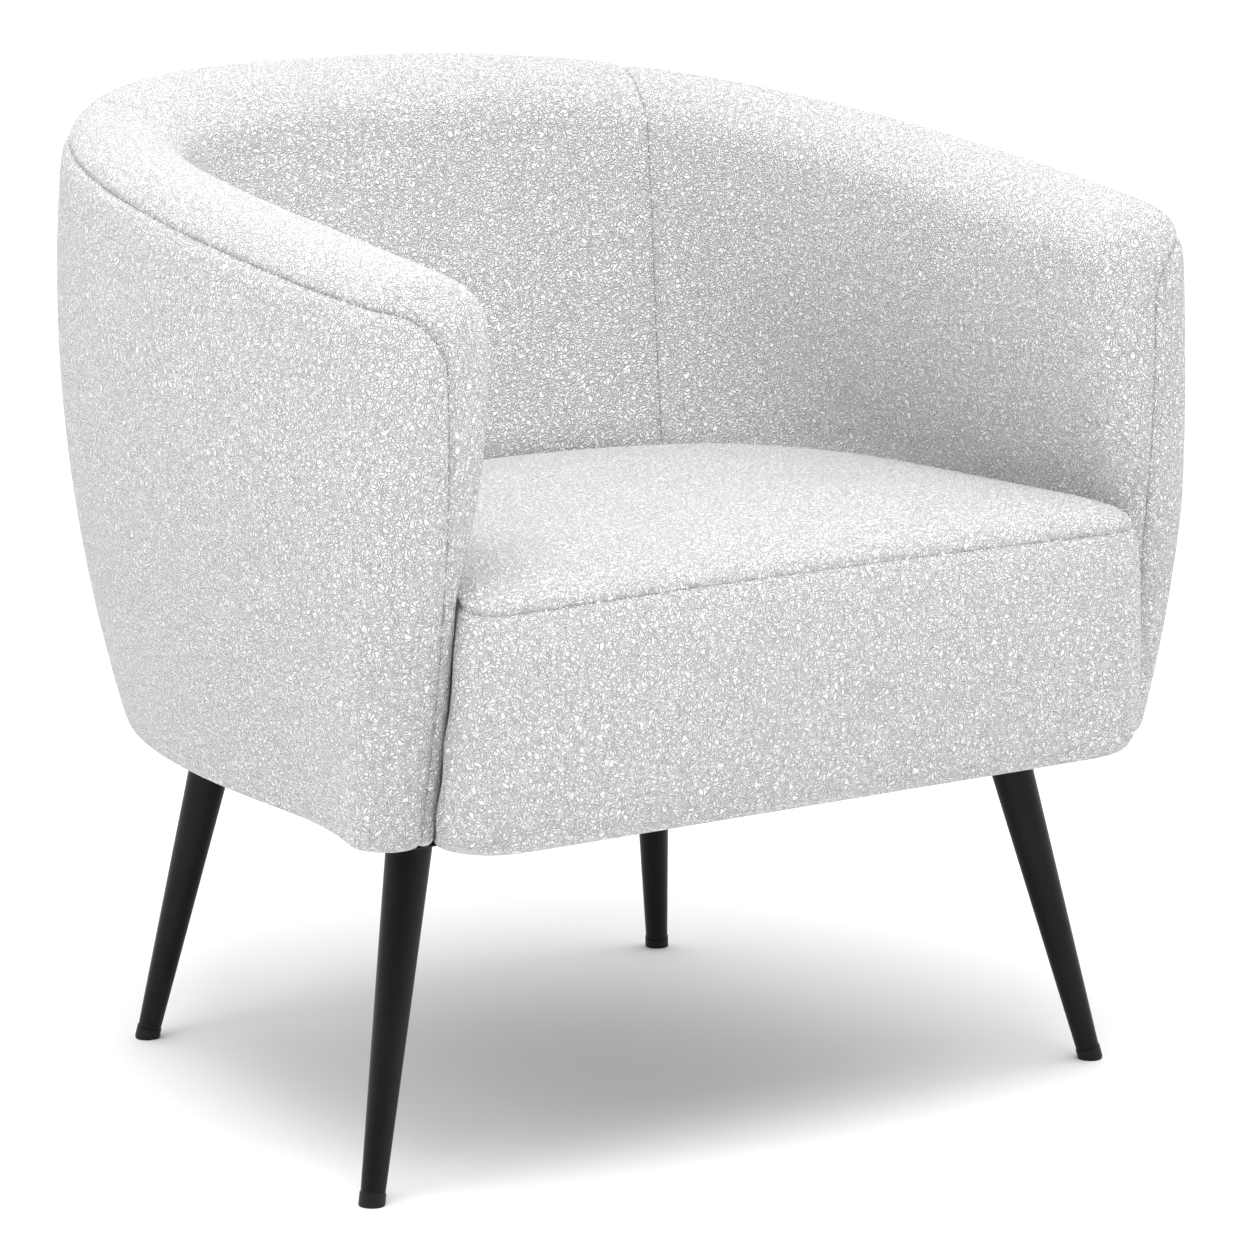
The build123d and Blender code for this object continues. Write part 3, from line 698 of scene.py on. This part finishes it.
def body_panels():
    """The covers of the arms and back: outside, inside and the rolled top."""
    verts, faces, edge = body_grid()
    body = new_object("body", verts, faces)
    edge = drop_loose(body, edge)
    points = coordinates(body.data)
    distances = (edge, back_seam_distance(points), outside_seam_distance(points))
    held = np.abs(edge) < HELD_AT_EDGE_SEAM
    held |= (np.abs(distances[1]) < HELD_AT_BACK_SEAM) & (edge < 0)
    held |= (np.abs(distances[2]) < HELD_AT_BACK_SEAM) & (edge > 0)
    held |= points[:, 2] < BODY_BOTTOM + HELD_BOTTOM
    held |= (edge < 0) & (points[:, 2] < HELD_INSIDE_Z)
    inflate(body, held, BODY_PRESSURE, BODY_SWELL)
    for name, values in zip(SEAMS, distances):
        set_layer(body.data, name, values)
    subdivided(body, 1)
    bm = bmesh.new()
    bm.from_mesh(body.data)
    seam = bm.verts.layers.float["edge"]
    for value in CUT_LINES:
        cut_line(bm, "edge", value, lambda v: True)
    for value in CUT_LINES:
        cut_line(bm, "inside_back", value, lambda v: v[seam] <= TINY)
        cut_line(bm, "outside_back", value, lambda v: v[seam] >= -TINY)
    bm.to_mesh(body.data)
    bm.free()
    edge, inner, outer = [get_layer(body.data, name) for name in SEAMS]
    depth = groove(edge)
    depth = np.maximum(depth, np.where(edge < TINY, groove(inner), 0))
    depth = np.maximum(depth, np.where(edge > -TINY, groove(outer), 0))
    set_coordinates(body.data, coordinates(body.data) - normals(body.data) * depth[:, None])

    def side_of(mesh, centres):
        names = []
        for centre, a, b, c in zip(centres, *[face_values(mesh, name) for name in SEAMS]):
            side = "left" if centre[0] < 0 else "right"
            if a > 0:
                names.append(f"outside_arm_{side}" if c > 0 else "outside_back")
            else:
                names.append(f"inside_arm_{side}" if b > 0 else "inside_back")
        return names

    return panels_from(body, side_of)


def seat_panels():
    """The seat's crowned top panel and the border under its seam."""
    verts, faces, edge = seat_grid()
    seat = new_object("seat", verts, faces)
    edge = drop_loose(seat, edge)
    points = coordinates(seat.data)
    beside = (points[:, 1] > HELD_BESIDE_Y) & (points[:, 2] < SEAT_SIDE_Z + 2)
    bottom = points[:, 2] < SEAT_PROFILE[0][0] + HELD_BOTTOM
    inflate(seat, (np.abs(edge) < HELD_AT_SEAT_SEAM) | bottom | beside, SEAT_PRESSURE, SEAT_SWELL)
    set_layer(seat.data, "edge", edge)
    subdivided(seat, 1)
    bm = bmesh.new()
    bm.from_mesh(seat.data)
    for value in CUT_LINES:
        cut_line(bm, "edge", value, lambda v: True)
    bm.to_mesh(seat.data)
    bm.free()
    depth = groove(get_layer(seat.data, "edge"), SEAT_GROOVE_DEPTH)
    set_coordinates(seat.data, coordinates(seat.data) - normals(seat.data) * depth[:, None])

    def side_of(mesh, centres):
        return ["seat_border" if value > 0 else "seat_top" for value in face_values(mesh, "edge")]

    return panels_from(seat, side_of)


def dust_sheet():
    """Thin cloth under the frame, with holes for the legs, hanging a little in the middle."""
    bm = bmesh.new()
    bm.from_mesh(NODES["dust_cover"].data)
    bm.transform(NODES["dust_cover"].matrix_world)
    bm.normal_update()
    upper = [face for face in bm.faces if face.normal.z > -0.9]
    bmesh.ops.delete(bm, geom=upper, context="FACES")
    for across in (Vector((1, 0, 0)), Vector((0, 1, 0))):
        for step in range(-DUST_CUTS, DUST_CUTS + 1):
            everything = bm.verts[:] + bm.edges[:] + bm.faces[:]
            place = across * step * DUST_CUT * MM
            bmesh.ops.bisect_plane(bm, geom=everything, plane_co=place, plane_no=across)
    for vert in bm.verts:
        x = vert.co.x / DUST_HALF[0]
        y = vert.co.y / DUST_HALF[1]
        middle = max(1 - x * x, 0) * max(1 - y * y, 0)
        ripple = DUST_RIPPLE * math.sin(21 * x + 3 * y) * math.sin(17 * y)
        vert.co.z += (DUST_LIFT - DUST_SAG * middle - ripple * min(middle * 4, 1)) * MM
    mesh = bpy.data.meshes.new("dust_sheet")
    bm.to_mesh(mesh)
    bm.free()
    sheet = bpy.data.objects.new("dust_sheet", mesh)
    bpy.context.scene.collection.objects.link(sheet)
    return sheet


# ---------------------------------------------------------------- materials

class Tree:
    """Short way to write a node material."""

    def __init__(self, name):
        self.material = bpy.data.materials.new(name)
        self.material.use_nodes = True
        self.nodes = self.material.node_tree.nodes
        self.links = self.material.node_tree.links
        self.shader = next(n for n in self.nodes if n.type == "BSDF_PRINCIPLED")
        self.place = self.add("ShaderNodeTexCoord").outputs["Object"]

    def add(self, kind, inputs=(), **settings):
        node = self.nodes.new(kind)
        for key, value in settings.items():
            setattr(node, key, value)
        for key, value in dict(inputs).items():
            self.put(node.inputs[key], value)
        return node

    def put(self, socket, value):
        if isinstance(value, bpy.types.NodeSocket):
            self.links.new(value, socket)
        else:
            socket.default_value = value

    def math(self, operation, a, b=0.0, clamp=False):
        node = self.add("ShaderNodeMath", operation=operation, use_clamp=clamp)
        self.put(node.inputs[0], a)
        self.put(node.inputs[1], b)
        return node.outputs[0]

    def noise(self, scale, detail=2.0, rough=0.5, place=None, distortion=0.0):
        inputs = {
            "Vector": place or self.place, "Scale": scale, "Detail": detail,
            "Roughness": rough, "Distortion": distortion,
        }
        return self.add("ShaderNodeTexNoise", inputs).outputs[0]

    def stretched(self, x, y, z):
        node = self.add("ShaderNodeMapping", {"Vector": self.place, "Scale": (x, y, z)})
        return node.outputs[0]

    def ramp(self, value, low, high, dark, light):
        node = self.add("ShaderNodeValToRGB", {"Fac": value})
        node.color_ramp.elements[0].position = low
        node.color_ramp.elements[1].position = high
        node.color_ramp.elements[0].color = (*dark, 1)
        node.color_ramp.elements[1].color = (*light, 1)
        return node.outputs[0]

    def range(self, value, low, high):
        node = self.add("ShaderNodeMapRange", {"Value": value, "To Min": low, "To Max": high})
        return node.outputs[0]

    def bump(self, height, strength, distance):
        node = self.add("ShaderNodeBump", {"Height": height, "Strength": strength, "Distance": distance})
        self.links.new(node.outputs["Normal"], self.shader.inputs["Normal"])

    def set(self, **values):
        for key, value in values.items():
            self.put(self.shader.inputs[key.replace("_", " ")], value)


def boucle():
    """Looped yarn: small curly tufts about three millimetres wide, with thin gaps whose darker colour is
    painted shade.
    """
    t = Tree("boucle")
    wander = t.add("ShaderNodeTexNoise", {"Vector": t.place, "Scale": 230.0, "Detail": 0.0})
    shift = t.add("ShaderNodeVectorMath", {0: wander.outputs["Color"], 1: (0.5,) * 3}, operation="SUBTRACT")
    shift = t.add("ShaderNodeVectorMath", {0: shift.outputs[0], "Scale": 0.008}, operation="SCALE")
    place = t.add("ShaderNodeVectorMath", {0: t.place, 1: shift.outputs[0]}).outputs[0]
    tufts = t.add("ShaderNodeTexVoronoi", {"Vector": place, "Scale": 350.0}, feature="DISTANCE_TO_EDGE")
    loops = t.math("MULTIPLY", tufts.outputs["Distance"], 4.0, clamp=True)
    rounded = t.math("POWER", loops, 0.6)
    height = t.math("ADD", rounded, t.math("MULTIPLY", t.noise(900.0, 2.0), 0.25))
    # Base colour darker towards the edge of each tuft: painted shade in the gaps between tufts.
    colour = t.ramp(loops, 0.02, 0.22, (0.70, 0.697, 0.682), (0.825, 0.825, 0.815))
    t.set(Base_Color=colour, Roughness=t.range(loops, 0.95, 0.8), Sheen_Weight=0.2, Sheen_Roughness=0.5,
          Specular_IOR_Level=0.2)
    t.bump(height, 1.0, 0.0017)
    return t.material


def black_coat(name, tone, rough, grain):
    """Black powder coat or moulded plastic: even sheen with a fine grain and faint rubs."""
    t = Tree(name)
    rub = t.noise(14.0, 4.0, 0.6)
    colour = t.ramp(rub, 0.35, 0.75, (tone, tone, tone), (tone * 1.7, tone * 1.65, tone * 1.6))
    t.set(Base_Color=colour, Roughness=t.range(rub, rough - 0.05, rough + 0.09), Specular_IOR_Level=0.12)
    t.bump(t.noise(grain, 2.0), 0.12, 0.0002)
    return t.material


def bare_metal(name, tone, rough):
    """Drawn or plated steel with fine lines and small stains."""
    t = Tree(name)
    lines = t.noise(900.0, 2.0, 0.6, t.stretched(1.0, 0.08, 1.0))
    colour = t.ramp(lines, 0.3, 0.7, (tone * 0.8,) * 3, (tone, tone, tone * 1.02))
    t.set(Base_Color=colour, Metallic=1.0, Roughness=t.range(lines, rough, rough + 0.15))
    t.bump(lines, 0.1, 0.0001)
    return t.material


def wood(name, dark, light, grain):
    """Sawn timber: long grain lines with slow colour changes."""
    t = Tree(name)
    lines = t.noise(grain, 5.0, 0.6, t.stretched(0.12, 1.0, 1.0), 0.8)
    colour = t.ramp(lines, 0.3, 0.7, dark, light)
    t.set(Base_Color=colour, Roughness=t.range(lines, 0.6, 0.8))
    t.bump(lines, 0.3, 0.0004)
    return t.material


def plywood():
    """Plywood: thin veneer layers across its thickness and grain on its faces."""
    t = Tree("plywood")
    wave = {"Vector": t.place, "Scale": 110.0, "Distortion": 0.4}
    layers = t.add("ShaderNodeTexWave", wave, bands_direction="Z")
    grain = t.noise(70.0, 5.0, 0.6, t.stretched(0.15, 1.0, 1.0))
    mixed = t.math("ADD", t.math("MULTIPLY", layers.outputs["Fac"], 0.4), t.math("MULTIPLY", grain, 0.6))
    t.set(Base_Color=t.ramp(mixed, 0.2, 0.8, (0.46, 0.31, 0.17), (0.74, 0.58, 0.38)), Roughness=0.7)
    t.bump(mixed, 0.25, 0.0004)
    return t.material


def soft(name, dark, light, scale, depth, stretch=(1.0, 1.0, 1.0)):
    """Foam, wadding, felt and board: a fine irregular surface."""
    t = Tree(name)
    cells = t.noise(scale, 4.0, 0.7, t.stretched(*stretch))
    t.set(Base_Color=t.ramp(cells, 0.25, 0.75, dark, light), Roughness=0.95, Specular_IOR_Level=0.2)
    t.bump(cells, 0.6, depth)
    return t.material


def woven(name, dark, light, scale, depth):
    """Plain-woven or spun cloth: crossed threads."""
    t = Tree(name)
    threads = []
    for direction in ("X", "Y"):
        inputs = {"Vector": t.place, "Scale": scale, "Distortion": 1.5, "Detail": 2.0}
        wave = t.add("ShaderNodeTexWave", inputs, bands_direction=direction)
        threads.append(wave.outputs["Fac"])
    weave = t.math("MAXIMUM", *threads)
    t.set(Base_Color=t.ramp(weave, 0.2, 0.9, dark, light), Roughness=0.9, Sheen_Weight=0.1)
    t.bump(weave, 0.5, depth)
    return t.material


def materials():
    """One material for each slot of the record."""
    return {
        "boucle_cover": boucle(),
        "foam": soft("foam", (0.72, 0.66, 0.46), (0.93, 0.89, 0.74), 700.0, 0.0006),
        "padding": soft("wadding", (0.78, 0.78, 0.76), (0.94, 0.94, 0.93), 260.0, 0.0012, (1.0, 0.3, 1.0)),
        "felt": soft("felt", (0.28, 0.28, 0.27), (0.55, 0.54, 0.53), 420.0, 0.0007),
        "dust_cloth": woven("dust_cloth", (0.008, 0.008, 0.008), (0.035, 0.035, 0.035), 260.0, 0.0002),
        "webbing": woven("webbing", (0.06, 0.05, 0.045), (0.24, 0.22, 0.20), 190.0, 0.0005),
        "spring_steel": bare_metal("spring_steel", 0.42, 0.35),
        "clip_plastic": soft("clip_plastic", (0.72, 0.72, 0.69), (0.86, 0.86, 0.83), 300.0, 0.0001),
        "zinc_screw": bare_metal("zinc", 0.66, 0.25),
        "plate_steel": black_coat("plate_steel", 0.03, 0.5, 700.0),
        "leg_black": black_coat("leg_black", 0.008, 0.36, 900.0),
        "glide_plastic": black_coat("glide_plastic", 0.014, 0.42, 500.0),
        "board": soft("board", (0.42, 0.32, 0.21), (0.62, 0.50, 0.35), 180.0, 0.0004, (1.0, 1.0, 0.3)),
        "plywood": plywood(),
        "timber": wood("timber", (0.50, 0.36, 0.22), (0.78, 0.63, 0.43), 60.0),
    }


def dress(obj, material):
    obj.data.materials.clear()
    obj.data.materials.append(material)
    for polygon in obj.data.polygons:
        polygon.material_index = 0


# ---------------------------------------------------------------- stage, light, camera

def floor():
    """A wide pale floor."""
    line = np.linspace(-FLOOR_SIDE / 2, FLOOR_SIDE / 2, FLOOR_STEPS + 1)
    verts = [(x, y, 0.0) for y in line for x in line]
    faces = []
    for r in range(FLOOR_STEPS):
        for c in range(FLOOR_STEPS):
            first = r * (FLOOR_STEPS + 1) + c
            faces.append((first, first + 1, first + FLOOR_STEPS + 2, first + FLOOR_STEPS + 1))
    obj = new_object("floor", verts, faces)
    t = Tree("floor")
    t.set(Base_Color=(0.93, 0.93, 0.93, 1), Roughness=0.9, Specular_IOR_Level=0.1)
    dress(obj, t.material)


def soft_light(name, place, aim, size, power):
    data = bpy.data.lights.new(name, "AREA")
    data.shape = "RECTANGLE"
    data.size, data.size_y = size
    data.energy = power
    obj = bpy.data.objects.new(name, data)
    obj.location = place
    obj.rotation_euler = (Vector(aim) - Vector(place)).to_track_quat("-Z", "Y").to_euler()
    bpy.context.scene.collection.objects.link(obj)


def lights():
    """Bright even surroundings, darker in one direction so that the front corner shades off."""
    world = bpy.data.worlds.new("studio")
    world.use_nodes = True
    tree = world.node_tree
    background = tree.nodes["Background"]
    direction = tree.nodes.new("ShaderNodeTexCoord")
    facing = tree.nodes.new("ShaderNodeVectorMath")
    facing.operation = "DOT_PRODUCT"
    facing.inputs[1].default_value = DARK_SIDE
    fade = tree.nodes.new("ShaderNodeMapRange")
    fade.interpolation_type = "SMOOTHSTEP"
    turns = {"From Min": 0.1, "From Max": 0.9, "To Min": WORLD_BRIGHT, "To Max": WORLD_DARK}
    for name, value in turns.items():
        fade.inputs[name].default_value = value
    tree.links.new(direction.outputs["Generated"], facing.inputs[0])
    tree.links.new(facing.outputs["Value"], fade.inputs["Value"])
    tree.links.new(fade.outputs["Result"], background.inputs["Strength"])
    background.inputs["Color"].default_value = (1, 1, 1, 1)
    bpy.context.scene.world = world
    soft_light("overhead", (-0.6, -1.0, 3.0), (0.05, 0.1, 0.5), (2.0, 2.0), 74)
    soft_light("left", (-2.6, -0.4, 2.4), (0.2, 0.0, 0.5), (1.2, 1.2), 16)
    soft_light("right", (3.4, -0.6, 2.2), (0, 0, 0.45), (1.6, 2.0), 12)
    bpy.context.scene.view_settings.view_transform = "Standard"
    bpy.context.scene.view_settings.look = "None"


def camera():
    """The camera, and the viewing direction it is aimed along."""
    azimuth = math.radians(AZIMUTH)
    elevation = math.radians(ELEVATION)
    away = Vector((
        math.sin(azimuth) * math.cos(elevation),
        -math.cos(azimuth) * math.cos(elevation),
        math.sin(elevation),
    ))
    data = bpy.data.cameras.new("camera")
    data.sensor_width = 36.0
    data.lens = 18.0 / math.tan(math.radians(FIELD_OF_VIEW) / 2)
    data.clip_end = 100.0
    obj = bpy.data.objects.new("camera", data)
    obj.location = TARGET + away * DISTANCE
    obj.rotation_euler = (-away).to_track_quat("-Z", "Y").to_euler()
    bpy.context.scene.collection.objects.link(obj)
    bpy.context.scene.camera = obj


# ---------------------------------------------------------------- assembly

def build():
    """Dress the carried-over nodes, make the fabric pieces and set the stage."""
    camera()
    finishes = materials()
    for entry in frame["record"]["subparts"]:
        dress(NODES[entry["node"]], finishes[entry["material_slot"]])
    pieces = body_panels()
    pieces.update(seat_panels())
    stands_for = {
        "outside_arm_left": ["outside_cover_arm_left"],
        "outside_arm_right": ["outside_cover_arm_right"],
        "outside_back": ["outside_cover_back"],
        "inside_arm_left": ["inside_cover_arm_left"],
        "inside_arm_right": ["inside_cover_arm_right"],
        "inside_back": ["inside_cover_back"],
        "seat_top": ["seat_cover_top"],
        "seat_border": ["seat_cover_border"],
    }
    for name, piece in pieces.items():
        thicken(piece, FABRIC_THICKNESS)
        dress(piece, finishes["boucle_cover"])
        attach(piece, "root")
        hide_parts(*stands_for[name])
    sheet = dust_sheet()
    thicken(sheet, DUST_THICKNESS)
    dress(sheet, finishes["dust_cloth"])
    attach(sheet, "root")
    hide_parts("dust_cover")
    floor()
    lights()


build()
